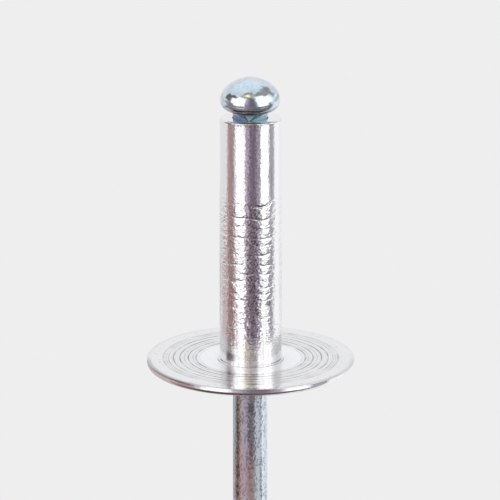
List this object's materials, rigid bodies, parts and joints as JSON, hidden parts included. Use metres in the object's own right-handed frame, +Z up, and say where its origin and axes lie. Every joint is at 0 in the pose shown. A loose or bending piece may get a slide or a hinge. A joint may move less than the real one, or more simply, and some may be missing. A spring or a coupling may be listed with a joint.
{
  "type": "large-flange blind rivet",
  "caption": "Large-flange blind rivet, unset: a tubular sleeve with a wide thin flange, threaded on a headed mandrel that a setting tool pulls.",
  "frame": {"origin": "middle of the bounding box, on the level surface that the rivet lies on", "axes": "+Z up; +X level, along the rivet's length, from the mandrel's head towards its tail; +Y level, across it. The rivet's own axis is in the XZ plane and rises towards the head."},
  "size_m": [0.0534, 0.016, 0.0157],
  "materials": {
    "rivet_aluminium": "bright drawn and turned aluminium, with fine rings on the flange and creases round the sleeve",
    "zinc_steel": "bright zinc plating with a bluish tint over drawn steel wire"
  },
  "bodies": {
    "root": {"rivet_body": "rivet_aluminium", "mandrel": "zinc_steel"}
  },
  "joints": []
}
